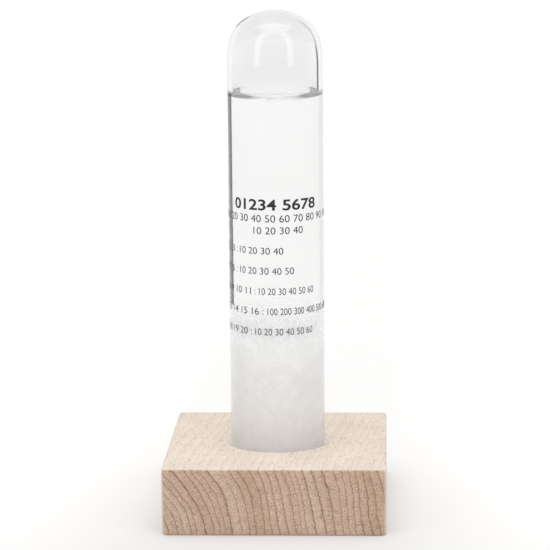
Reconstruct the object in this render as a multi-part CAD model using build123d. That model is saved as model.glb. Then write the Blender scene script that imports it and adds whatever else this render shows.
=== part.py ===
from build123d import *
import math
import os

# Storm glass: a sealed glass tube of clear liquid and camphor crystals, stood upside down in a
# round socket in a block of beech. The tube lifts out of the socket and turns in it.
#
# Sizes are in millimetres. The origin is the centre of the base's underside, where the object
# stands. +Z is up the tube, and -Y faces the viewer.

# Wooden base
base_width = 74.0
base_depth = 80.0
base_height = 22.5
base_corner_radius = 2.0
base_arris = 0.8

# Blind socket, drilled with a flat-bottomed bit that leaves a small pit at its centre
socket_diameter = 35.0
socket_depth = 15.0
socket_chamfer = 0.4
pit_diameter = 3.0
pit_depth = 2.0

# Cork disc that the tube stands on
pad_thickness = 1.5
pad_clearance = 1.0

# Glass tube, upside down: domed end at the top, mouth with a flared lip hidden in the socket
overall_height = 169.5
tube_diameter = 32.0
wall_thickness = 1.8
lip_projection = 1.0
lip_height = 1.8
lip_flare_height = 2.4
lip_bevel = 0.5

# Dome, in three tangent arcs. The first two radii are shares of the tube's outer radius
neck_radius_share = 2.625
shoulder_radius_share = 0.72
neck_angle = 11.0
crown_angle = 55.0

# Rubber stopper in the mouth, with a ring of sealing compound under the lip's overhang
stopper_head_height = 3.0
stopper_chamfer = 0.8
stopper_plug_length = 6.0
stopper_fit = 0.02
seal_width = 0.6
seal_height = 1.6

# Liquid, with air above it and a curled edge where it climbs the glass
air_space = 28.9
liquid_clearance = 0.05
meniscus_width = 3.5
meniscus_height = 2.3

# Packed crystals: a level column with six-sided points on it
bed_height = 38.5
point_radius = 2.4
point_height = 5.0
point_taper = 20.0
point_tilt = 14.0
point_sink = 2.0
point_ring_shares = (0.3, 0.7)
point_ring_counts = (4, 9)

# Feather crystals that grow out of the packed ones, each a flat blade with slanted barbs
frond_ring_shares = (0.25, 0.62)
frond_ring_counts = (3, 5)
frond_height = 15.0
frond_height_step = 1.4
frond_root = 2.5
frond_thickness = 0.5
frond_stem_width = 0.8
frond_lean = 5.0
barb_length = 3.4
barb_width = 0.7
barb_pitch = 1.7
barb_angle = 55.0
barb_bare_stem = 3.2

# Heights and radii that follow from the sizes above
socket_floor = base_height - socket_depth
pad_top = socket_floor + pad_thickness
mouth_height = pad_top + stopper_head_height
plug_top = mouth_height + stopper_plug_length
tube_radius = tube_diameter / 2
bore_radius = tube_radius - wall_thickness
contents_radius = bore_radius - liquid_clearance
lip_radius = tube_radius + lip_projection
foot_radius = lip_radius - lip_bevel
stopper_head_radius = foot_radius - seal_width
liquid_level = overall_height - air_space
bed_top = plug_top + bed_height


def on_circle(centre, radius, angle):
    """The point at an angle in degrees on a circle about a centre in the (radius, height) plane."""
    turn = math.radians(angle)
    return centre[0] + radius * math.cos(turn), centre[1] + radius * math.sin(turn)


def turned(edges):
    """The solid that closed edges in the (radius, height) plane sweep about the Z axis."""
    return revolve(make_face(Plane.XZ * (Curve() + edges)), Axis.Z)


def dome_arcs(inset):
    """Neck, shoulder and crown arcs of the dome, from the wall to the axis, set in from the outside."""
    neck_radius = neck_radius_share * tube_radius
    shoulder_radius = shoulder_radius_share * tube_radius
    neck_offset = on_circle((0, 0), neck_radius - shoulder_radius, neck_angle)
    shoulder_x = tube_radius - neck_radius + neck_offset[0]
    crown_radius = shoulder_radius + shoulder_x / math.cos(math.radians(crown_angle))
    crown_z = overall_height - crown_radius
    shoulder_z = crown_z + shoulder_x * math.tan(math.radians(crown_angle))
    neck = (tube_radius - neck_radius, shoulder_z - neck_offset[1])
    return [
        CenterArc(neck, neck_radius - inset, 0, neck_angle),
        CenterArc((shoulder_x, shoulder_z), shoulder_radius - inset, neck_angle, crown_angle - neck_angle),
        CenterArc((0, crown_z), crown_radius - inset, crown_angle, 90 - crown_angle),
    ]


def wooden_base():
    """Block with eased edges, a blind socket and the pit that the bit's point leaves in its floor."""
    block = extrude(RectangleRounded(base_width, base_depth, base_corner_radius), base_height)
    rims = block.edges().group_by(Axis.Z)
    block = chamfer(rims[0] + rims[-1], base_arris)
    radius = socket_diameter / 2
    mouth = radius + socket_chamfer
    socket = turned(
        Polyline(
            (0, socket_floor - pit_depth),
            (pit_diameter / 2, socket_floor),
            (radius, socket_floor),
            (radius, base_height - socket_chamfer),
            (mouth, base_height),
            (0, base_height),
            close=True,
        )
    )
    return block - socket


def socket_pad():
    """Cork disc that lies on the socket's floor."""
    radius = socket_diameter / 2 - pad_clearance
    return Pos(0, 0, socket_floor) * extrude(Circle(radius), pad_thickness)


def glass_tube():
    """Tube of even wall with a domed top, and a flared lip with bevelled edges round its mouth."""
    outer = dome_arcs(0)
    inner = dome_arcs(wall_thickness)
    lip_top = mouth_height + lip_height
    outer_start = outer[0] @ 0
    inner_start = inner[0] @ 0
    return turned(
        [
            *outer,
            Line(outer[2] @ 1, inner[2] @ 1),
            *inner,
            Polyline(
                inner_start,
                (bore_radius, mouth_height + lip_bevel),
                (bore_radius + lip_bevel, mouth_height),
                (foot_radius, mouth_height),
                (lip_radius, mouth_height + lip_bevel),
                (lip_radius, lip_top),
                (tube_radius, lip_top + lip_flare_height),
                outer_start,
            ),
        ]
    )


def end_stopper():
    """Rubber stopper: a plug that fills the bore, and a head that the tube's foot stands on."""
    plug_radius = bore_radius - stopper_fit
    return turned(
        Polyline(
            (0, pad_top),
            (stopper_head_radius - stopper_chamfer, pad_top),
            (stopper_head_radius, pad_top + stopper_chamfer),
            (stopper_head_radius, mouth_height),
            (plug_radius, mouth_height),
            (plug_radius, plug_top - stopper_chamfer),
            (plug_radius - stopper_chamfer, plug_top),
            (0, plug_top),
            close=True,
        )
    )


def rim_seal():
    """Ring of cured compound in the corner between the stopper's head and the tube's foot."""
    return turned(
        Polyline(
            (stopper_head_radius, mouth_height),
            (foot_radius, mouth_height),
            (stopper_head_radius, mouth_height - seal_height),
            close=True,
        )
    )


def ring_places(shares, counts):
    """Places on rings about the axis, each with its number, its distance and its angle in degrees."""
    number = 0
    for share, count in zip(shares, counts):
        for step in range(count):
            yield number, share * contents_radius, (step + share) * 360 / count
            number += 1


def crystal_frond(number):
    """Flat feather crystal that stands on Z = 0: a tapered stem with pairs of slanted barbs."""
    height = frond_height - frond_height_step * (number % 4)
    rise = math.cos(math.radians(barb_angle))
    reach = math.sin(math.radians(barb_angle))
    half_stem = frond_stem_width / 2
    side = [(half_stem, 0)]
    start = frond_root + barb_bare_stem
    barbs = int((height - barb_bare_stem) / barb_pitch)
    for step in range(barbs):
        foot = start + step * barb_pitch
        shrink = 1 - step / barbs
        length = barb_length * shrink
        stem = half_stem * (0.4 + 0.6 * shrink)
        side += [
            (stem, foot),
            (stem + length * reach, foot + length * rise),
            (stem, foot + barb_width),
        ]
    tip = (0, start + barbs * barb_pitch + barb_width)
    mirrored = [(-x, z) for x, z in reversed(side)]
    outline = Plane.XZ * Polyline(*side, tip, *mirrored, close=True)
    return extrude(make_face(outline), frond_thickness / 2, both=True)


def crystal_fronds():
    """Every feather crystal, rooted in the packed bed and leaning out from the axis."""
    return [
        Rot(Z=angle)
        * Pos(distance, 0, bed_top - frond_root)
        * Rot(Y=frond_lean)
        * Rot(Z=angle * 0.7)
        * crystal_frond(number)
        for number, distance, angle in ring_places(frond_ring_shares, frond_ring_counts)
    ]


def crystal_bed():
    """Packed crystals on the stopper: a column with six-sided points on its top."""
    bed = Pos(0, 0, plug_top) * extrude(Circle(contents_radius), bed_height)
    for number, distance, angle in ring_places(point_ring_shares, point_ring_counts):
        size = 1 - 0.12 * (number % 3)
        tilt = point_tilt * (number % 3 - 1)
        point = extrude(RegularPolygon(point_radius * size, 6), point_height * size, taper=point_taper)
        bed += Rot(Z=angle) * Pos(distance, 0, bed_top - point_sink) * Rot(Y=tilt) * point
    return bed


def liquid_column():
    """Everything in the tube below the liquid's surface, with the edge curled up the glass."""
    curl_radius = (meniscus_width**2 + meniscus_height**2) / (2 * meniscus_height)
    curl_angle = math.degrees(math.asin(meniscus_width / curl_radius))
    curl_start = contents_radius - meniscus_width
    return turned(
        [
            CenterArc((curl_start, liquid_level + curl_radius), curl_radius, -90, curl_angle),
            Polyline(
                (contents_radius, liquid_level + meniscus_height),
                (contents_radius, plug_top),
                (0, plug_top),
                (0, liquid_level),
                (curl_start, liquid_level),
            ),
        ]
    )


fronds = crystal_fronds()
bed = crystal_bed()

nodes = {
    "wooden_base": wooden_base(),
    "socket_pad": socket_pad(),
    "glass_tube": glass_tube(),
    "end_stopper": end_stopper(),
    "rim_seal": rim_seal(),
    "storm_liquid": liquid_column() - bed - fronds,
    "crystal_bed": bed - fronds,
    "crystal_fronds": Compound(children=fronds),
}

os.makedirs("parts", exist_ok=True)
for name, shape in nodes.items():
    shape.label = name
    export_step(shape, f"parts/{name}.step")
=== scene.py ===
import math
import random

import bmesh
import bpy
from mathutils import Matrix, Vector, noise


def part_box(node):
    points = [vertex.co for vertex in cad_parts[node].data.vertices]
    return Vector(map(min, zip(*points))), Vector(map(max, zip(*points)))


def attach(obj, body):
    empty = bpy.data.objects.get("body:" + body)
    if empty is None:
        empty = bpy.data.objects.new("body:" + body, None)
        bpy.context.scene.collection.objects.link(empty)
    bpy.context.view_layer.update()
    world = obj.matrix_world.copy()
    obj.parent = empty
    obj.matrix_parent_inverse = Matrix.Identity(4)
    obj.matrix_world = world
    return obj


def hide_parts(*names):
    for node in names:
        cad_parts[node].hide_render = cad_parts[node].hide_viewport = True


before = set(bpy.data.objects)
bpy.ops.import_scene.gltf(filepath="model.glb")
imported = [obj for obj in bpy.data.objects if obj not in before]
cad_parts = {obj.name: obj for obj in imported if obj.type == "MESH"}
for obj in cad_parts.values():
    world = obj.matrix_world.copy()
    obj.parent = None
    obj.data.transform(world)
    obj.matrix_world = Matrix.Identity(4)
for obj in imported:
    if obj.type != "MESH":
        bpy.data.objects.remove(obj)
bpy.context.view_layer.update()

# A storm glass on a beech block, seen a little from above against white.
# Lengths are in metres, and the frame's own axes are used: +Z up, -Y towards the viewer.

MM = 0.001
base_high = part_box("wooden_base")[1]
tube_low, tube_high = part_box("glass_tube")
plug_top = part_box("end_stopper")[1].z
liquid_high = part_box("storm_liquid")[1]
bed_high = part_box("crystal_bed")[1]
feather_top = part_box("crystal_fronds")[1].z

# Sizes of the tube that its box doesn't give
tube_radius = 16.0 * MM
wall = 1.8 * MM
bore_radius = tube_radius - wall
contents_radius = liquid_high.x
lip_radius = tube_high.x
lip_bevel = 0.5 * MM
lip_height = 1.8 * MM
lip_flare_height = 2.4 * MM
neck_radius_share = 2.625
shoulder_radius_share = 0.72
neck_angle = 11.0
crown_angle = 55.0
meniscus_width = 3.5 * MM
meniscus_height = 2.3 * MM
liquid_level = liquid_high.z - meniscus_height

# Block, and the socket in it
block_corner = 2.0 * MM
block_arris = 0.8 * MM
socket_radius = 17.5 * MM
socket_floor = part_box("socket_pad")[0].z
socket_chamfer = 0.4 * MM
pit_radius = 1.5 * MM
pit_depth = 2.0 * MM

# Heights between which the crystals thin out, from solid white to clear liquid
haze_low = 55.5 * MM
haze_high = 71.0 * MM


# Mesh helpers

def add_mesh(name, points, faces, body, materials, smooth=True):
    """A new piece that rides on a body, with its materials."""
    mesh = bpy.data.meshes.new(name)
    mesh.from_pydata(points, [], faces)
    mesh.validate()
    mesh.update()
    if smooth:
        mesh.shade_smooth()
    piece = bpy.data.objects.new(name, mesh)
    bpy.context.scene.collection.objects.link(piece)
    for material in materials:
        mesh.materials.append(material)
    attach(piece, body)
    return piece


def arc(centre, radius, start, end, steps):
    """Points along an arc in the (radius, height) plane, from one angle in degrees to another."""
    points = []
    for step in range(steps + 1):
        turn = math.radians(start + (end - start) * step / steps)
        points.append((centre[0] + radius * math.cos(turn), centre[1] + radius * math.sin(turn)))
    return points


def line(start, end, steps):
    """Points along a straight stretch of a profile, without its last one."""
    return [
        (start[0] + (end[0] - start[0]) * step / steps, start[1] + (end[1] - start[1]) * step / steps)
        for step in range(steps)
    ]


def lathe(profile, segments, close=False):
    """Points, faces and each face's profile step, of a profile turned about the Z axis.

    A point on the axis becomes one vertex.
    """
    on_axis = 1e-7
    points, rings, faces, owners = [], [], [], []
    for radius, height in profile:
        if radius < on_axis:
            rings.append([len(points)])
            points.append((0.0, 0.0, height))
            continue
        rings.append(list(range(len(points), len(points) + segments)))
        for step in range(segments):
            turn = 2 * math.pi * step / segments
            points.append((radius * math.cos(turn), radius * math.sin(turn), height))
    following = rings[1:] + rings[:1] if close else rings[1:]
    for number, (low, high) in enumerate(zip(rings, following)):
        if len(low) == 1 and len(high) == 1:
            continue
        for step in range(segments):
            after = (step + 1) % segments
            if len(low) == 1:
                faces.append((low[0], high[after], high[step]))
            elif len(high) == 1:
                faces.append((low[step], low[after], high[0]))
            else:
                faces.append((low[step], low[after], high[after], high[step]))
            owners.append(number)
    return points, faces, owners


# Material helpers

class Tree:
    """Short calls for building the nodes of a material or of the world."""

    def __init__(self, owner):
        owner.use_nodes = True
        self.owner = owner
        self.tree = owner.node_tree
        self.tree.nodes.clear()

    def add(self, kind, sockets=None, **settings):
        node = self.tree.nodes.new(kind)
        for key, value in settings.items():
            setattr(node, key, value)
        for key, value in (sockets or {}).items():
            self.put(node.inputs[key], value)
        return node

    def put(self, socket, value):
        if isinstance(value, bpy.types.NodeSocket):
            self.tree.links.new(value, socket)
        else:
            socket.default_value = value

    def place(self):
        return self.add("ShaderNodeTexCoord").outputs["Object"]

    def axis(self, vector, name):
        return self.add("ShaderNodeSeparateXYZ", {"Vector": vector}).outputs[name]

    def geometry(self, name):
        return self.add("ShaderNodeNewGeometry").outputs[name]

    def facing(self):
        return self.add("ShaderNodeLayerWeight", {"Blend": 0.5}).outputs["Facing"]

    def rays(self, *kinds):
        """One for a ray of any of these kinds, zero for another."""
        path = self.add("ShaderNodeLightPath")
        found = path.outputs[kinds[0]]
        for kind in kinds[1:]:
            found = self.math("MAXIMUM", found, path.outputs[kind])
        return found

    def math(self, operation, *values):
        node = self.add("ShaderNodeMath", operation=operation)
        for socket, value in zip(node.inputs, values):
            self.put(socket, value)
        return node.outputs[0]

    def hypotenuse(self, *sides):
        squares = [self.math("POWER", side, 2.0) for side in sides]
        return self.math("SQRT", self.math("ADD", *squares))

    def swing(self, factor, width):
        """A factor between zero and one as a length to either side of zero."""
        return self.math("MULTIPLY", self.math("SUBTRACT", factor, 0.5), width)

    def between(self, value, low, high, start=0.0, end=1.0):
        """A value carried from one range to another, and held at the ends."""
        sockets = {0: value, 1: low, 2: high, 3: start, 4: end}
        return self.add("ShaderNodeMapRange", sockets, clamp=True).outputs["Result"]

    def ramp(self, factor, stops, smooth=False):
        node = self.add("ShaderNodeValToRGB", {"Fac": factor})
        node.color_ramp.interpolation = "EASE" if smooth else "LINEAR"
        elements = node.color_ramp.elements
        while len(elements) < len(stops):
            elements.new(1.0)
        for element, (place, colour) in zip(elements, stops):
            element.position = place
            element.color = colour if len(colour) == 4 else (*colour, 1.0)
        return node.outputs["Color"]

    def mix(self, factor, first, second, blend="MIX"):
        node = self.add("ShaderNodeMix", data_type="RGBA", blend_type=blend)
        self.put(node.inputs["Factor"], factor)
        self.put(node.inputs["A"], first)
        self.put(node.inputs["B"], second)
        return node.outputs["Result"]

    def noise(self, vector, scale, detail=2.0, roughness=0.5):
        node = self.add("ShaderNodeTexNoise", {"Scale": scale, "Detail": detail, "Roughness": roughness})
        self.put(node.inputs["Vector"], vector)
        return node.outputs["Fac"]

    def stretched(self, vector, scale):
        return self.add("ShaderNodeMapping", {"Vector": vector, "Scale": scale}).outputs["Vector"]

    def bump(self, height, strength, distance):
        node = self.add("ShaderNodeBump", {"Height": height, "Strength": strength, "Distance": distance})
        return node.outputs["Normal"]

    def shader(self, kind, sockets):
        return self.add(kind, sockets).outputs[0]

    def either(self, factor, first, second):
        """One shader where the factor is zero, the other where it is one."""
        return self.add("ShaderNodeMixShader", {0: factor, 1: first, 2: second}).outputs["Shader"]

    def finish(self, surface, output="ShaderNodeOutputMaterial"):
        self.put(self.add(output).inputs["Surface"], surface)
        return self.owner


def new_tree(name):
    return Tree(bpy.data.materials.new(name))


def grey(value):
    return (value, value, value, 1.0)


# Beech: where the tree's heart lay, to the left of the block and a little below it, and how its rings run

heart_x = -57.0 * MM
heart_z = -6.0 * MM
ring_spacing = 2.5 * MM
ring_sway = 5.0 * MM
ring_shake = 0.9 * MM
ring_growth = 8.0 * MM
ray_radius = 60.0 * MM
grain_slant = math.radians(7.0)

# Tones across one year's ring, from its pale start to the dark line that ends it
early_wood = (0.560, 0.400, 0.300)
late_wood = (0.235, 0.138, 0.086)
year_tones = [
    (0.0, early_wood),
    (0.06, (0.670, 0.500, 0.392)),
    (0.45, (0.665, 0.495, 0.386)),
    (0.78, (0.610, 0.440, 0.335)),
    (0.88, (0.510, 0.350, 0.257)),
    (0.925, late_wood),
    (0.975, late_wood),
    (1.0, early_wood),
]
even_tone = (0.652, 0.478, 0.368, 1.0)
ray_tone = (0.400, 0.255, 0.180, 1.0)
long_grain_tones = [(0.0, (0.755, 0.655, 0.555)), (0.7, (0.790, 0.695, 0.600)), (1.0, (0.725, 0.620, 0.515))]
fleck_tone = (0.520, 0.400, 0.305, 1.0)

# The socket's wall is painted paler than the rest and given a faint glow: painted light where the narrow gap
# round the tube would be lit
socket_painted_light_tone = (0.93, 0.86, 0.79, 1.0)
socket_painted_glow = 0.22


def beech_material():
    """Beech: end grain with rings and rays on the front and back, fine flecks along the grain elsewhere."""
    t = new_tree("beech")
    straight = t.place()
    slant = {"Vector": straight, "Rotation": (0.0, 0.0, grain_slant)}
    place = t.add("ShaderNodeMapping", slant).outputs["Vector"]
    squarely = t.math("ABSOLUTE", t.axis(t.geometry("Normal"), "Y"))
    end_grain = t.math("POWER", t.math("MINIMUM", t.math("MULTIPLY", squarely, 1.25), 1.0), 5.0)

    # Distance and direction from the heart, with the wobble and the uneven growth of real rings
    along_grain = t.stretched(place, (1.0, 0.25, 1.0))
    across = t.math("SUBTRACT", t.axis(place, "X"), heart_x)
    upward = t.math("SUBTRACT", t.axis(place, "Z"), heart_z)
    radius = t.hypotenuse(across, upward)
    radius = t.math("ADD", radius, t.swing(t.noise(along_grain, 45.0), ring_sway))
    radius = t.math("ADD", radius, t.swing(t.noise(along_grain, 620.0), ring_shake))
    outward = t.add("ShaderNodeCombineXYZ", {"X": radius}).outputs["Vector"]
    growth = t.swing(t.noise(outward, 75.0), ring_growth)
    count = t.math("DIVIDE", t.math("ADD", radius, growth), ring_spacing)
    rings = t.math("FRACT", count)
    year = t.add("ShaderNodeTexWhiteNoise", noise_dimensions="1D")
    t.put(year.inputs["W"], t.math("FLOOR", count))
    strength = t.math("ADD", 0.50, t.math("MULTIPLY", year.outputs["Value"], 0.50))
    ring_tone = t.mix(strength, even_tone, t.ramp(rings, year_tones))

    # Rays from the heart, and the pores that pepper the end grain
    arc_length = t.math("MULTIPLY", t.math("ARCTAN2", upward, across), ray_radius)
    polar = t.add("ShaderNodeCombineXYZ", {"X": arc_length, "Y": radius}).outputs["Vector"]
    ray_noise = t.noise(t.stretched(polar, (1.0, 0.09, 1.0)), 2600.0, 1.0)
    rays = t.ramp(ray_noise, [(0.56, grey(0.0)), (0.66, grey(1.0))])
    pores = t.noise(place, 3000.0, 2.0, 0.75)
    pepper = t.ramp(pores, [(0.33, grey(0.40)), (0.50, grey(1.0)), (0.68, grey(1.30))])
    years = t.ramp(t.noise(outward, 110.0), [(0.35, (0.86, 0.80, 0.73)), (0.60, (1.04, 1.05, 1.06))])
    blotch = t.ramp(t.noise(place, 70.0, 3.0), [(0.30, (0.93, 0.91, 0.89)), (0.70, (1.04, 1.04, 1.04))])
    end_colour = t.mix(t.math("MULTIPLY", rays, 0.42), ring_tone, ray_tone)
    for share, shade in ((0.85, pepper), (0.75, years), (0.8, blotch)):
        end_colour = t.mix(share, end_colour, shade, "MULTIPLY")

    # Long grain: pale, with soft bands from the rings and short darker flecks
    fibre_noise = t.noise(t.stretched(place, (1.0, 0.10, 1.0)), 2600.0, 3.0, 0.6)
    fibre = t.ramp(fibre_noise, [(0.30, grey(0.93)), (0.65, grey(1.02))])
    fleck_noise = t.noise(t.stretched(place, (1.0, 0.17, 1.0)), 1900.0, 1.0)
    flecks = t.ramp(fleck_noise, [(0.58, grey(0.0)), (0.68, grey(1.0))])
    long_colour = t.mix(0.7, t.ramp(rings, long_grain_tones), fibre, "MULTIPLY")
    long_colour = t.mix(t.math("MULTIPLY", flecks, 0.55), long_colour, fleck_tone)
    long_colour = t.mix(0.8, long_colour, blotch, "MULTIPLY")

    # Inside the socket: a paler colour and a faint glow, painted light in the gap round the tube
    off_axis = t.hypotenuse(t.axis(straight, "X"), t.axis(straight, "Y"))
    socket_light_mask = t.math("LESS_THAN", off_axis, socket_radius + 0.1 * MM)
    colour = t.mix(socket_light_mask, t.mix(end_grain, long_colour, end_colour), socket_painted_light_tone)

    relief = t.math("ADD", t.math("MULTIPLY", pores, 0.8), t.math("MULTIPLY", fleck_noise, -0.5))
    relief = t.math("SUBTRACT", relief, t.math("MULTIPLY", t.math("POWER", rings, 12.0), 0.5))
    surface = {
        "Base Color": colour,
        "Roughness": t.math("ADD", 0.55, t.math("MULTIPLY", pores, 0.2)),
        "Specular IOR Level": 0.35,
        # Painted light: the socket's wall glows faintly and is paler than the wood around it
        "Emission Color": socket_painted_light_tone,
        "Emission Strength": t.math("MULTIPLY", socket_light_mask, socket_painted_glow),
        "Normal": t.bump(relief, 0.35, 0.15 * MM),
    }
    return t.finish(t.shader("ShaderNodeBsdfPrincipled", surface))


# Glass and liquid: how much they bend light, the glass's tint, and where the painted dark lines on it start
# and end

glass_ior = 1.47
liquid_ior = 1.36
glass_in_liquid_ior = 1.081
glass_tint = (0.935, 0.936, 0.937, 1.0)
liquid_tint = (0.995, 1.0, 0.998, 1.0)
painted_line_tone = (0.02, 0.02, 0.021, 1.0)
edge_line_low = 71.0 * MM
edge_line_high = liquid_high.z - 0.6 * MM
dome_line_high = 158.0 * MM


def clear_shader(t, ior, colour, dark=None, see_through=None):
    """Polished clear surface with a tint, and with a painted dark line, standing in for refraction, where a
    mask asks for it.

    Lamps shine through it, and where see_through is more than zero, so does that share of all light.
    """
    ripple = t.noise(t.stretched(t.place(), (1.0, 1.0, 0.25)), 90.0, 1.0)
    polished = {
        "Base Color": colour,
        "Roughness": 0.0,
        "IOR": ior,
        "Transmission Weight": 1.0,
        "Normal": t.bump(ripple, 0.04, 0.5 * MM),
    }
    surface = t.shader("ShaderNodeBsdfPrincipled", polished)
    if dark is not None:
        # Painted refraction: a dark diffuse colour takes the glass's place where the mask asks
        surface = t.either(dark, surface, t.shader("ShaderNodeBsdfDiffuse", {"Color": painted_line_tone}))
    open_share = t.rays("Is Shadow Ray", "Is Diffuse Ray")
    if see_through is not None:
        open_share = t.math("MAXIMUM", open_share, see_through)
    open_way = t.shader("ShaderNodeBsdfTransparent", {"Color": (0.98, 0.985, 0.985, 1.0)})
    return t.either(open_share, surface, open_way)


def side_mask(t, direction, low, high):
    """One where the surface faces a direction closely, zero elsewhere."""
    sides = {0: t.geometry("Normal"), 1: Vector(direction).normalized()}
    toward = t.add("ShaderNodeVectorMath", sides, operation="DOT_PRODUCT").outputs["Value"]
    return t.ramp(toward, [(low, grey(0.0)), (high, grey(1.0))])


def height_mask(t, low, high, blur):
    """One between two heights, zero beyond them, with soft ends."""
    height = t.axis(t.place(), "Z")
    above = t.between(height, low - blur, low + blur)
    below = t.between(height, high + blur, high - blur)
    return t.math("MULTIPLY", above, below)


def outer_glass_material():
    """Outside of the tube, with painted dark lines: painted refraction where the thick edge of the wall is
    seen end-on, painted darkening at the limbs and a painted dark reflection on the dome.
    """
    t = new_tree("clear_glass")
    facing = t.facing()
    # Painted refraction and reflection: dark marks laid on the glass by how squarely and which way it faces
    edge_tones = ((0.586, 0.0), (0.604, 0.80), (0.674, 0.70), (0.74, 0.60), (0.83, 0.40), (0.90, 0.0))
    edge = t.ramp(facing, [(place, grey(tone)) for place, tone in edge_tones])
    left = side_mask(t, (-1.0, 0.0, 0.0), 0.80, 0.88)
    right = side_mask(t, (1.0, 0.0, 0.0), 0.80, 0.88)
    sides = t.math("ADD", left, t.math("MULTIPLY", right, 0.12))
    filled = height_mask(t, edge_line_low, edge_line_high, 0.3 * MM)
    edge_line = t.math("MULTIPLY", t.math("MULTIPLY", edge, sides), filled)
    rim = t.ramp(facing, [(0.82, grey(0.0)), (0.95, grey(0.08))])
    painted_dark_spot = side_mask(t, (-0.62, -0.14, 0.77), 0.972, 0.986)
    painted_dark_spot = t.math("MULTIPLY", painted_dark_spot, t.ramp(facing, [(0.72, grey(0.0)), (0.82, grey(0.55))]))
    dark = t.math("MAXIMUM", t.math("MAXIMUM", edge_line, rim), painted_dark_spot)
    return t.finish(clear_shader(t, glass_ior, glass_tint, dark))


def inner_glass_material():
    """Inside of the tube above the liquid, with a painted dark line that stands in for the refraction where
    the bore's wall is seen edge-on.
    """
    t = new_tree("clear_glass_inside")
    # Painted refraction: a dark band where the bore's wall is seen nearly edge-on
    line_tones = ((0.255, 0.0), (0.264, 0.86), (0.279, 0.86), (0.288, 0.0))
    dome_line = t.ramp(t.facing(), [(place, grey(tone)) for place, tone in line_tones])
    right = side_mask(t, (1.0, 0.0, 0.0), 0.40, 0.60)
    low_part = height_mask(t, liquid_level, dome_line_high, 3.0 * MM)
    dark = t.math("MULTIPLY", t.math("MULTIPLY", dome_line, right), t.geometry("Backfacing"))
    dark = t.math("MULTIPLY", dark, t.math("ADD", 0.30, t.math("MULTIPLY", low_part, 0.70)))
    return t.finish(clear_shader(t, glass_ior, glass_tint, dark))


def clear_material(name, ior, see_through=None):
    """Clear, polished and colourless."""
    t = new_tree(name)
    return t.finish(clear_shader(t, ior, liquid_tint, see_through=see_through))


def open_material():
    """The liquid's side, which the wet wall of the glass already bends for."""
    t = new_tree("liquid_side")
    return t.finish(t.shader("ShaderNodeBsdfTransparent", {"Color": grey(1.0)}))


# Crystals: a faint painted glow that stands in for light scattered inside them, and how unevenly they thin out

crystal_painted_glow = 0.05
haze_swing = 22.0 * MM
haze_least_clear = 0.05


def crystal_material(name, tone, fine, shade, haze=False):
    """White crystals, grainy and soft, with painted shade that makes them a little greyer lower down. A haze
    of them thins out upwards.

    The shade is the share of light that they keep from what is behind them.
    """
    t = new_tree(name)
    place = t.place()
    height = t.axis(place, "Z")
    grain = t.noise(place, fine, 4.0, 0.65)
    clump = t.noise(place, fine * 0.12, 3.0)
    mottle = t.math("ADD", t.math("MULTIPLY", grain, 0.6), t.math("MULTIPLY", clump, 0.4))
    # Painted shade: the crystals darken towards the bottom of the tube, where less light reaches them
    shade_by_height_stops = [
        (0.0, (tone * 0.74, tone * 0.695, tone * 0.690)),
        (0.35, (tone * 0.86, tone * 0.835, tone * 0.825)),
        (1.0, (tone, tone, tone)),
    ]
    painted_height_shade = t.ramp(t.between(height, base_high.z, bed_high.z), shade_by_height_stops)
    light = t.ramp(mottle, [(0.36, grey(0.90)), (0.64, grey(1.04))])
    grainy = {
        "Base Color": t.mix(1.0, painted_height_shade, light, "MULTIPLY"),
        "Roughness": t.math("ADD", 0.45, t.math("MULTIPLY", grain, 0.3)),
        "Normal": t.bump(grain, 0.5, 0.25 * MM),
        # Painted glow: the crystals give off a little light of their own
        "Emission Color": painted_height_shade,
        "Emission Strength": crystal_painted_glow,
    }
    clear = t.math("MULTIPLY", t.rays("Is Shadow Ray", "Is Diffuse Ray"), 1.0 - shade)
    if haze:
        uneven_height = t.math("ADD", height, t.swing(mottle, haze_swing))
        clear = t.math("MAXIMUM", clear, t.between(uneven_height, haze_low, haze_high, haze_least_clear, 1.0))
    crystals = t.shader("ShaderNodeBsdfPrincipled", grainy)
    open_way = t.shader("ShaderNodeBsdfTransparent", {"Color": grey(1.0)})
    return t.finish(t.either(clear, crystals, open_way))


# Print, rubber, cork and sealing compound

def ink_material():
    """Matte black print, a little uneven where the screen laid it thin."""
    t = new_tree("ink")
    uneven = t.noise(t.place(), 2200.0)
    printed = {
        "Base Color": t.ramp(uneven, [(0.3, grey(0.010)), (0.75, grey(0.035))]),
        "Roughness": t.math("ADD", 0.45, t.math("MULTIPLY", uneven, 0.2)),
    }
    return t.finish(t.shader("ShaderNodeBsdfPrincipled", printed))


def speckled_material(name, dark, light, scale, rough):
    """Matte material with a mottled grain, for rubber, cork and sealing compound."""
    t = new_tree(name)
    place = t.place()
    cells = t.add("ShaderNodeTexVoronoi", {"Vector": place, "Scale": scale}).outputs["Distance"]
    mottle = t.math("ADD", t.math("MULTIPLY", cells, 0.6), t.noise(place, scale * 2, 3.0))
    matte = {
        "Base Color": t.ramp(mottle, [(0.45, dark), (1.0, light)]),
        "Roughness": t.math("ADD", rough, t.math("MULTIPLY", mottle, 0.1)),
        "Normal": t.bump(mottle, 0.3, 0.2 * MM),
    }
    return t.finish(t.shader("ShaderNodeBsdfPrincipled", matte))


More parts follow.
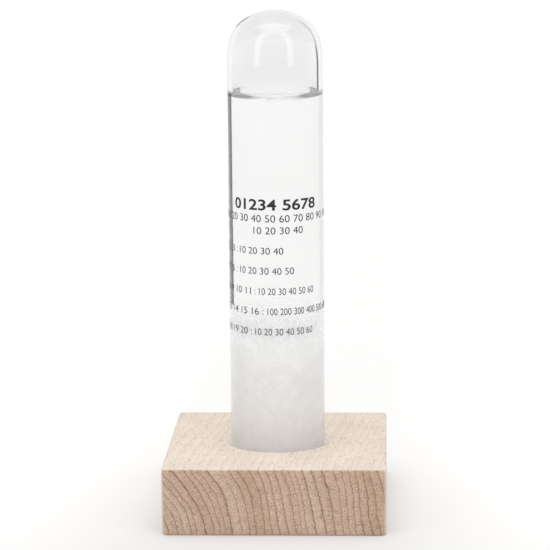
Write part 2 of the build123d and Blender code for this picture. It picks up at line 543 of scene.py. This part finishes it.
beech = beech_material()
outer_glass = outer_glass_material()
inner_glass = inner_glass_material()
wet_glass = clear_material("wet_glass", glass_in_liquid_ior)
liquid_top = clear_material("liquid_surface", liquid_ior)
liquid_edge = clear_material("liquid_edge", liquid_ior, see_through=0.5)
liquid_side = open_material()
packed = crystal_material("packed_crystals", 0.97, 1500.0, 0.3)
feathery = crystal_material("feather_crystals", 0.98, 2500.0, 0.1)
milky = crystal_material("milky_crystals", 0.98, 1800.0, 0.1, haze=True)
ink = ink_material()
rubber = speckled_material("stopper_rubber", (0.42, 0.41, 0.39), (0.56, 0.55, 0.52), 900.0, 0.55)
cork = speckled_material("cork", (0.25, 0.13, 0.06), (0.52, 0.34, 0.19), 500.0, 0.7)
compound = speckled_material("sealing_compound", (0.62, 0.61, 0.58), (0.78, 0.77, 0.74), 700.0, 0.4)


# Wooden block

corner_steps = 8
side_steps = 14
arris_steps = 4
height_steps = 8
top_steps = 6
block_sharp_angle = math.radians(40)


def rounded_outline(inset):
    """Points round the block's outline, set in by a distance, with rounded corners."""
    half_x = base_high.x - block_corner
    half_y = base_high.y - block_corner
    corners = []
    for x_side, y_side, start in ((1, -1, -90), (1, 1, 0), (-1, 1, 90), (-1, -1, 180)):
        centre = (x_side * half_x, y_side * half_y)
        corners.append(arc(centre, block_corner - inset, start, start + 90, corner_steps))
    points = []
    for corner, following in zip(corners, corners[1:] + corners[:1]):
        points += corner
        points += line(corner[-1], following[0], side_steps)[1:]
    return points


def wooden_block():
    """Block with softly rounded edges and the round socket, all in rings with as many points each."""
    arris = []
    for step in range(arris_steps + 1):
        turn = math.radians(90 * step / arris_steps)
        arris.append((block_arris * (1 - math.sin(turn)), block_arris * (1 - math.cos(turn))))
    straight = base_high.z - 2 * block_arris
    levels = list(arris)
    levels += [(0.0, block_arris + straight * level / height_steps) for level in range(1, height_steps)]
    levels += [(inset, base_high.z - rise) for inset, rise in reversed(arris)]
    rings = [[(x, y, height) for x, y in rounded_outline(inset)] for inset, height in levels]

    # Across the top face from its edge to the socket, then down into it
    edge = rings[-1]
    turns = [math.atan2(y, x) for x, y, z in edge]
    mouth = socket_radius + socket_chamfer
    for level in range(1, top_steps + 1):
        share = level / top_steps
        ring = []
        for (x, y, z), turn in zip(edge, turns):
            mouth_x, mouth_y = mouth * math.cos(turn), mouth * math.sin(turn)
            ring.append((x + (mouth_x - x) * share, y + (mouth_y - y) * share, z))
        rings.append(ring)
    inside = [
        (socket_radius, base_high.z - socket_chamfer),
        (socket_radius, (base_high.z + socket_floor) / 2),
        (socket_radius, socket_floor),
        (socket_radius / 2, socket_floor),
        (pit_radius, socket_floor),
    ]
    for radius, height in inside:
        rings.append([(radius * math.cos(turn), radius * math.sin(turn), height) for turn in turns])

    count = len(edge)
    last = (len(rings) - 1) * count
    points = [point for ring in rings for point in ring]
    pit, under = len(points), len(points) + 1
    points += [(0.0, 0.0, socket_floor - pit_depth), (0.0, 0.0, 0.0)]
    faces = []
    for step in range(count):
        after = (step + 1) % count
        for low in range(0, last, count):
            faces.append((low + step, low + after, low + count + after, low + count + step))
        faces += [(last + step, last + after, pit), (after, step, under)]
    piece = add_mesh("beech_block", points, faces, "base", [beech])
    piece.data.set_sharp_from_angle(angle=block_sharp_angle)
    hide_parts("wooden_base")


# Glass tube

tube_segments = 192
dome_steps = 48
wall_steps = 24
dry_wall_steps = 3
glass_sharp_angle = math.radians(35)


def dome_profile(inset):
    """Neck, shoulder and crown arcs of the dome, from the wall to the axis."""
    neck_radius = neck_radius_share * tube_radius
    shoulder_radius = shoulder_radius_share * tube_radius
    reach = neck_radius - shoulder_radius
    neck_turn, crown_turn = math.radians(neck_angle), math.radians(crown_angle)
    shoulder_x = tube_radius - neck_radius + reach * math.cos(neck_turn)
    crown_radius = shoulder_radius + shoulder_x / math.cos(crown_turn)
    crown_z = tube_high.z - crown_radius
    shoulder_z = crown_z + shoulder_x * math.tan(crown_turn)
    neck = (tube_radius - neck_radius, shoulder_z - reach * math.sin(neck_turn))
    shoulder = (shoulder_x, shoulder_z)
    points = arc(neck, neck_radius - inset, 0, neck_angle, dome_steps // 3)[:-1]
    points += arc(shoulder, shoulder_radius - inset, neck_angle, crown_angle, dome_steps)[:-1]
    points += arc((0.0, crown_z), crown_radius - inset, crown_angle, 90, dome_steps)[:-1]
    return points + [(0.0, tube_high.z - inset)]


def glass_tube():
    """Tube with its dome and flared lip. The bore's wall is wet glass below the liquid's edge."""
    mouth = tube_low.z
    lip_top = mouth + lip_height
    dome_out = dome_profile(0.0)
    dome_in = dome_profile(wall)[::-1]
    wet_edge = (bore_radius, liquid_high.z)
    inner_low = (bore_radius, mouth + lip_bevel)
    profile = [
        (bore_radius + lip_bevel, mouth),
        (lip_radius - lip_bevel, mouth),
        (lip_radius, mouth + lip_bevel),
        (lip_radius, lip_top),
    ]
    profile += line((tube_radius, lip_top + lip_flare_height), dome_out[0], wall_steps)
    profile += dome_out
    outside = len(profile)
    profile += dome_in[:-1]
    profile += line(dome_in[-1], wet_edge, dry_wall_steps)
    wet_start = len(profile)
    profile += line(wet_edge, inner_low, wall_steps)
    wet_end = len(profile)
    profile.append(inner_low)
    points, faces, owners = lathe(profile, tube_segments, close=True)
    glasses = [outer_glass, inner_glass, wet_glass]
    piece = add_mesh("glass_tube_clear", points, faces, "tube", glasses)
    for polygon, owner in zip(piece.data.polygons, owners):
        dry = outside <= owner < wet_start
        wet = wet_start <= owner < wet_end
        polygon.material_index = 2 if wet else int(dry)
    piece.data.set_sharp_from_angle(angle=glass_sharp_angle)
    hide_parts("glass_tube")


# Liquid and crystals

liquid_gap = 0.3 * MM
milky_steps = 40
clear_steps = 20
curl_steps = 14


def shadeless(piece):
    """Keep a piece from shading what is behind it, as clear liquid and loose crystals hardly do."""
    piece.visible_shadow = False
    piece.visible_diffuse = False


def storm_liquid():
    """Liquid from the stopper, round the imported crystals, up to its curled edge. Its lower part is milky."""
    curl = (meniscus_width**2 + meniscus_height**2) / (2 * meniscus_height)
    spread = math.degrees(math.asin(meniscus_width / curl))
    flat_radius = contents_radius - meniscus_width
    bottom = plug_top + liquid_gap
    corner = (contents_radius, bottom)
    clearing = (contents_radius, haze_high)
    profile = [(0.0, bottom)] + line((contents_radius / 2, bottom), corner, 2)
    bottom_end = len(profile)
    profile += line(corner, clearing, milky_steps)
    milky_end = len(profile)
    profile += line(clearing, (contents_radius, liquid_high.z), clear_steps)
    side_end = len(profile)
    profile += arc((flat_radius, liquid_level + curl), curl, -90, spread - 90, curl_steps)[::-1]
    curl_end = len(profile)
    profile += [(flat_radius * share, liquid_level) for share in (0.8, 0.6, 0.4, 0.2, 0.0)]
    points, faces, owners = lathe(profile, tube_segments)
    skins = [milky, liquid_side, liquid_edge, liquid_top]
    piece = add_mesh("liquid", points, faces, "tube", skins)
    for polygon, owner in zip(piece.data.polygons, owners):
        polygon.material_index = sum(owner >= end for end in (milky_end, side_end, curl_end))
        polygon.use_smooth = owner >= bottom_end
    shadeless(piece)
    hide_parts("storm_liquid")


# Packed crystals: room left at the glass, and the rough field of peaks on top of them
bed_seed = 7
bed_clearance = 0.06 * MM
bed_segments = 144
bed_side_steps = 12
bed_top_steps = 40
peak_width = 3.0 * MM
peak_height = 4.0 * MM
spike_height = 1.6 * MM
peak_limit = 2.9 * MM
column_top = bed_high.z - 3.0 * MM


def crystal_bed():
    """Packed crystals: a column whose top is a rough field of small peaks."""
    radius = contents_radius - bed_clearance
    profile = [(0.0, plug_top), (radius * 0.6, plug_top), (radius, plug_top)]
    profile += line((radius, plug_top + 1.0 * MM), (radius, column_top), bed_side_steps)
    profile += line((radius, column_top), (0.0, column_top), bed_top_steps) + [(0.0, column_top)]
    points, faces, owners = lathe(profile, bed_segments)
    shift = Vector((0.31, 0.77, bed_seed))
    rough = []
    for x, y, z in points:
        if z > column_top - 0.1 * MM:
            place = Vector((x, y, 0.0)) / peak_width + shift
            peak = abs(noise.fractal(place, 0.9, 2.1, 5)) * peak_height
            spike = max(0.0, noise.noise(place * 3.7)) * spike_height
            z += min(peak + spike, peak_limit)
        rough.append((x, y, z))
    piece = add_mesh("crystal_mass", rough, faces, "tube", [packed])
    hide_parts("crystal_bed")


# Feather crystals. A pair of values is the least and the most of what is drawn at random
feather_seed = 20
feather_count = 90
feather_root = bed_high.z - 3.5 * MM
feather_reach = contents_radius * 0.86
feather_heights = (4.0 * MM, 12.5 * MM)
feather_lowering = 0.25
feather_leans = (-0.12, 0.05)
feather_thickness = 0.12 * MM
stem_half_width = 0.16 * MM
stem_taper = 0.3
bare_stem_share = 0.2
barb_pitch = 0.55 * MM
barb_length = 1.9 * MM
barb_stretches = (0.75, 1.1)
barb_reach = 0.8
barb_rise = 0.62
barb_foot = 0.3 * MM
barb_tip = 0.05 * MM

# Loose flakes
flake_count = 4500
flake_reach = contents_radius - 0.5 * MM
flake_thinning = 1.8
flake_sizes = (0.06 * MM, 0.17 * MM)
flake_stretches = (0.5, 1.3)
flake_turns = (0.0, 6.28)
flake_corners = ((1, 0, 0), (0, 1, 0), (-1, 0, 0), (0, -1, 0), (0, 0, 1), (0, 0, -1))
flake_faces = [(0, 1, 4), (1, 2, 4), (2, 3, 4), (3, 0, 4), (1, 0, 5), (2, 1, 5), (3, 2, 5), (0, 3, 5)]


def feather(source, height):
    """A feather crystal on Z = 0, as quads in the XZ plane: a stem with slanted barbs."""
    foot_x = stem_half_width
    tip_x = foot_x * stem_taper
    points = [(-foot_x, 0, 0), (foot_x, 0, 0), (tip_x, 0, height), (-tip_x, 0, height)]
    faces = [(0, 1, 2, 3)]
    bare = height * bare_stem_share
    foot = bare
    while foot < height - barb_pitch:
        share = (foot - bare) / (height - bare)
        length = barb_length * (1 - share) * source.uniform(*barb_stretches)
        for side in (-1, 1):
            start = len(points)
            x, z = side * length * barb_reach, foot + length * barb_rise
            points += [(0, 0, foot), (x, 0, z), (x, 0, z + barb_tip), (0, 0, foot + barb_foot)]
            faces.append((start, start + 1, start + 2, start + 3))
        foot += barb_pitch
    return points, faces


def thickened(points, faces, thickness):
    """Flat quads in the XZ plane made into thin closed blades."""
    solid_points, solid_faces = [], []
    for face in faces:
        start = len(solid_points)
        for side in (-0.5, 0.5):
            solid_points += [(points[v][0], points[v][1] + side * thickness, points[v][2]) for v in face]
        solid_faces.append(tuple(start + v for v in (0, 1, 2, 3)))
        solid_faces.append(tuple(start + v for v in (7, 6, 5, 4)))
        for edge in range(4):
            after = (edge + 1) % 4
            solid_faces.append((start + after, start + edge, start + 4 + edge, start + 4 + after))
    return solid_points, solid_faces


def crystal_feathers():
    """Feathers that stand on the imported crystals, and loose flakes that thin out above them."""
    source = random.Random(feather_seed)
    points, faces = [], []

    def place(shape_points, shape_faces, transform):
        start = len(points)
        points.extend(tuple(transform @ Vector(point)) for point in shape_points)
        faces.extend(tuple(start + v for v in face) for face in shape_faces)

    for number in range(feather_count):
        distance = feather_reach * math.sqrt(source.random())
        height = source.uniform(*feather_heights) * (1.0 - feather_lowering * distance / contents_radius)
        shape = thickened(*feather(source, height), feather_thickness)
        transform = (
            Matrix.Rotation(source.uniform(0, 2 * math.pi), 4, "Z")
            @ Matrix.Translation((distance, 0, feather_root))
            @ Matrix.Rotation(source.uniform(*feather_leans), 4, "Y")
            @ Matrix.Rotation(source.uniform(0, math.pi), 4, "Z")
        )
        place(*shape, transform)
    for number in range(flake_count):
        distance = flake_reach * math.sqrt(source.random())
        turn = source.uniform(0, 2 * math.pi)
        height = feather_root + (feather_top - feather_root) * source.random() ** flake_thinning
        size = source.uniform(*flake_sizes)
        shape = [Vector(corner) * size * source.uniform(*flake_stretches) for corner in flake_corners]
        where = Matrix.Translation((distance * math.cos(turn), distance * math.sin(turn), height))
        place(shape, flake_faces, where @ Matrix.Rotation(source.uniform(*flake_turns), 4, "Z"))
    piece = add_mesh("crystal_feathers", points, faces, "tube", [feathery], smooth=False)
    shadeless(piece)
    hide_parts("crystal_fronds")


# Print on the glass: lines of plain numbers

ink_lift = 0.012 * MM
ink_thickness = 0.02 * MM
print_step = 0.5 * MM
same_point = 1e-5

# Each line's name, numbers, left and right end round the tube from its front, height above the table, size
# and extra weight, in millimetres
heading_lines = [
    ("print_heading", "01234 5678", -15.4, 15.6, 104.6, 5.0, 0.11),
    ("print_second", "0 10 20 30 40 50 60 70 80 90 100", -25.5, 26.5, 100.5, 3.5, 0.0),
    ("print_third", "10 20 30 40", -7.2, 10.0, 96.5, 3.4, 0.0),
]

# Each row's height, where its label starts, its label, its colon, its numbers and their end, in millimetres
rows = [
    (89.7, -24.0, "1 2 3", -14.6, "10 20 30 40", 3.0),
    (82.9, -24.0, "4 5 6", -14.6, "10 20 30 40 50", 6.6),
    (76.0, -24.0, "7 8 9 10 11", -6.9, "10 20 30 40 50 60", 14.4),
    (69.2, -26.0, "12 13 14 15 16", -4.0, "100 200 300 400 500 600", 24.5),
    (62.3, -26.0, "17 18 19 20", -8.4, "10 20 30 40 50 60", 13.9),
]
row_size = 3.3 * MM
colon_gap = 1.5 * MM
dot_size = 0.32 * MM
dot_rise = 1.3 * MM


def wrapped(u, v, depth):
    """The place on the tube's outside of a point u metres round from the front and at height v."""
    turn = u / tube_radius
    radius = tube_radius + ink_lift + depth
    return radius * math.sin(turn), -radius * math.cos(turn), v


def text_mesh(body, size, weight):
    """Flat thin mesh of plain numbers, in millimetres, because a tiny outline fills badly."""
    curve = bpy.data.curves.new("numbers", "FONT")
    curve.body = body
    curve.size = size / MM
    curve.offset = weight / MM
    curve.align_x = "LEFT"
    curve.extrude = ink_thickness / 2 / MM
    holder = bpy.data.objects.new("numbers", curve)
    bpy.context.scene.collection.objects.link(holder)
    bpy.context.view_layer.update()
    mesh = bpy.data.meshes.new_from_object(holder.evaluated_get(bpy.context.evaluated_depsgraph_get()))
    bpy.data.objects.remove(holder)
    bpy.data.curves.remove(curve)
    return mesh


def sliced(mesh):
    """Points in metres and faces of a flat mesh, cut at even steps so that it can bend round the glass."""
    shape = bmesh.new()
    shape.from_mesh(mesh)
    bpy.data.meshes.remove(mesh)
    bmesh.ops.remove_doubles(shape, verts=shape.verts, dist=same_point)
    bmesh.ops.triangulate(shape, faces=shape.faces)
    low = min(vertex.co.x for vertex in shape.verts)
    high = max(vertex.co.x for vertex in shape.verts)
    for step in range(1, math.ceil((high - low) * MM / print_step)):
        everything = shape.verts[:] + shape.edges[:] + shape.faces[:]
        place = (low + step * print_step / MM, 0, 0)
        bmesh.ops.bisect_plane(shape, geom=everything, dist=same_point, plane_co=place, plane_no=(1, 0, 0))
    shape.verts.index_update()
    points = [tuple(vertex.co * MM) for vertex in shape.verts]
    faces = [tuple(vertex.index for vertex in face.verts) for face in shape.faces]
    shape.free()
    return points, faces, low * MM, high * MM


def numbers(body, left, right, base_height, size, weight=0.0):
    """Numbers stretched to fill a stretch of the tube's girth, on a base line at a height."""
    points, faces, low, high = sliced(text_mesh(body, size, weight))
    scale = (right - left) / (high - low)
    moved = [(left + (x - low) * scale, base_height + y, z + ink_thickness / 2) for x, y, z in points]
    return moved, faces


def dot(centre, low):
    """Square dot of ink round a place on the tube's girth, from a height up."""
    left, right, high = centre - dot_size / 2, centre + dot_size / 2, low + dot_size
    points = []
    for u in (left, right):
        points += [(u, low, 0.0), (u, high, 0.0), (u, high, ink_thickness), (u, low, ink_thickness)]
    sides = [(0, 1, 5, 4), (1, 2, 6, 5), (2, 3, 7, 6), (3, 0, 4, 7)]
    return points, sides + [(3, 2, 1, 0), (4, 5, 6, 7)]


def print_piece(name, shapes):
    """One piece of print made of flat shapes, wrapped onto the glass."""
    points, faces = [], []
    for shape_points, shape_faces in shapes:
        start = len(points)
        points.extend(wrapped(u, v, depth) for u, v, depth in shape_points)
        faces.extend(tuple(start + v for v in face) for face in shape_faces)
    add_mesh(name, points, faces, "tube", [ink], smooth=False)


def printing():
    """Heading, two lines under it and five numbered rows, laid out as such a tube's print is."""
    for name, body, *sizes in heading_lines:
        print_piece(name, [numbers(body, *(size * MM for size in sizes))])
    for number, (height, start, label, colon, body, end) in enumerate(rows, 1):
        height, start, colon, end = height * MM, start * MM, colon * MM, end * MM
        shapes = [
            dot(colon, height),
            dot(colon, height + dot_rise),
            numbers(body, colon + colon_gap, end, height, row_size),
            numbers(label, start, colon - colon_gap, height, row_size),
        ]
        print_piece(f"print_row_{number}", shapes)


def dress_cad_nodes():
    """Better materials for the CAD pieces that are kept as they are."""
    for name, material in (("end_stopper", rubber), ("socket_pad", cork), ("rim_seal", compound)):
        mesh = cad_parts[name].data
        mesh.materials.clear()
        mesh.materials.append(material)


wooden_block()
glass_tube()
storm_liquid()
crystal_bed()
crystal_feathers()
printing()
dress_cad_nodes()


# Stage: pale floor, white surroundings and soft light

floor_half = 3.0
floor_start = -0.1
floor_tone = (0.620, 0.612, 0.606, 1.0)
ambient = 0.78

# How much the floor adds for the camera, from the front to the far edge, and beside the block, where it adds
# less close to the block as painted shade
away_glow = ((0.0, 0.12), (0.02, 0.18), (0.05, 0.26), (0.19, 0.36), (0.35, 0.46), (0.7, 0.55))
painted_shade_reach = 0.085
glow_past_painted_shade = 0.10

# Each lamp's name, place, target, width, height and glow, and whether it shows in reflections
lamps = [
    ("overhead", (0.0, -0.10, 1.05), (0.0, 0.0, 0.02), 0.9, 0.9, 1.7, False),
    ("left_box", (-0.66, -0.72, 0.62), (0.0, 0.0, 0.12), 0.28, 1.20, 1.3, True),
    ("right_box", (0.66, -0.72, 0.62), (0.0, 0.0, 0.12), 0.28, 1.20, 1.3, True),
]


def floor():
    """Wide pale floor that the camera sees as white where nothing shades it."""
    half = floor_half
    corners = [(-half, -half, 0), (half, -half, 0), (half, half, 0), (-half, half, 0)]
    mesh = bpy.data.meshes.new("floor")
    mesh.from_pydata(corners, [], [(0, 1, 2, 3)])
    t = new_tree("floor_white")
    place = t.place()
    sideways = t.math("ABSOLUTE", t.axis(place, "X"))
    # Painted shade: close beside the block the floor glows less for the camera
    beside = t.between(sideways, base_high.x, painted_shade_reach, 0.0, glow_past_painted_shade)
    reach = t.between(t.axis(place, "Y"), floor_start, half)
    away = t.ramp(reach, [(place, grey(glow)) for place, glow in away_glow])
    seen = t.rays("Is Camera Ray", "Is Transmission Ray", "Is Glossy Ray")
    seen_beside = t.math("MULTIPLY", beside, t.rays("Is Camera Ray"))
    strength = t.math("ADD", t.math("MULTIPLY", seen, away), seen_beside)
    diffuse = t.shader("ShaderNodeBsdfDiffuse", {"Color": floor_tone})
    glow = t.shader("ShaderNodeEmission", {"Color": grey(1.0), "Strength": strength})
    mesh.materials.append(t.finish(t.shader("ShaderNodeAddShader", {0: diffuse, 1: glow})))
    ground = bpy.data.objects.new("floor", mesh)
    bpy.context.scene.collection.objects.link(ground)


def surroundings():
    """White all round for the camera, and greyer towards the viewer's side for reflections."""
    world = bpy.data.worlds.new("surroundings")
    bpy.context.scene.world = world
    t = Tree(world)
    direction = t.add("ShaderNodeTexCoord").outputs["Generated"]
    height = t.math("MULTIPLY", t.axis(direction, "Z"), 0.9)
    behind = t.math("ADD", t.math("MULTIPLY", t.axis(direction, "Y"), 0.5), 0.5)
    away = t.math("SUBTRACT", behind, height)
    mirrored = t.ramp(away, [(0.25, grey(0.30)), (0.70, grey(1.0))], smooth=True)
    seen = t.mix(t.rays("Is Glossy Ray"), grey(ambient), mirrored)
    seen = t.mix(t.rays("Is Camera Ray", "Is Transmission Ray"), seen, grey(1.0))
    background = t.shader("ShaderNodeBackground", {"Color": seen, "Strength": 1.0})
    t.finish(background, "ShaderNodeOutputWorld")


def lamp(name, place, target, width, height, glow, reflected):
    """Soft oblong lamp that points at a target, as bright as a white card lit glow times over."""
    data = bpy.data.lights.new(name, "AREA")
    data.shape = "RECTANGLE"
    data.size = width
    data.size_y = height
    data.energy = glow * math.pi * width * height
    light = bpy.data.objects.new(name, data)
    bpy.context.scene.collection.objects.link(light)
    light.location = place
    light.rotation_euler = (Vector(target) - Vector(place)).to_track_quat("-Z", "Y").to_euler()
    light.visible_glossy = reflected


# Camera, from the block's corners, the socket's rim and the tube's sides in the photo
focal_pixels = 2600.0
frame_pixels = 550.0
camera_place = Vector((37.73, -863.87, 242.19)) * MM
camera_yaw = 0.0443
camera_pitch = 0.1856
camera_roll = -0.0096
sensor_width = 36.0
nearest_seen = 0.05


def camera():
    """Camera that looks past the tube a little from its right and above."""
    data = bpy.data.cameras.new("camera")
    data.sensor_fit = "HORIZONTAL"
    data.sensor_width = sensor_width
    data.lens = focal_pixels / frame_pixels * sensor_width
    data.clip_start = nearest_seen
    eye = bpy.data.objects.new("camera", data)
    bpy.context.scene.collection.objects.link(eye)
    level = math.cos(camera_pitch)
    forward = Vector((-math.sin(camera_yaw) * level, math.cos(camera_yaw) * level, -math.sin(camera_pitch)))
    right = Vector((math.cos(camera_yaw), math.sin(camera_yaw), 0.0))
    up = right.cross(forward)
    across = right * math.cos(camera_roll) + up * math.sin(camera_roll)
    upward = up * math.cos(camera_roll) - right * math.sin(camera_roll)
    turn = Matrix((across, upward, -forward)).transposed().to_4x4()
    eye.matrix_world = Matrix.Translation(camera_place) @ turn
    bpy.context.scene.camera = eye


floor()
surroundings()
for values in lamps:
    lamp(*values)
camera()
bpy.context.scene.view_settings.view_transform = "Standard"
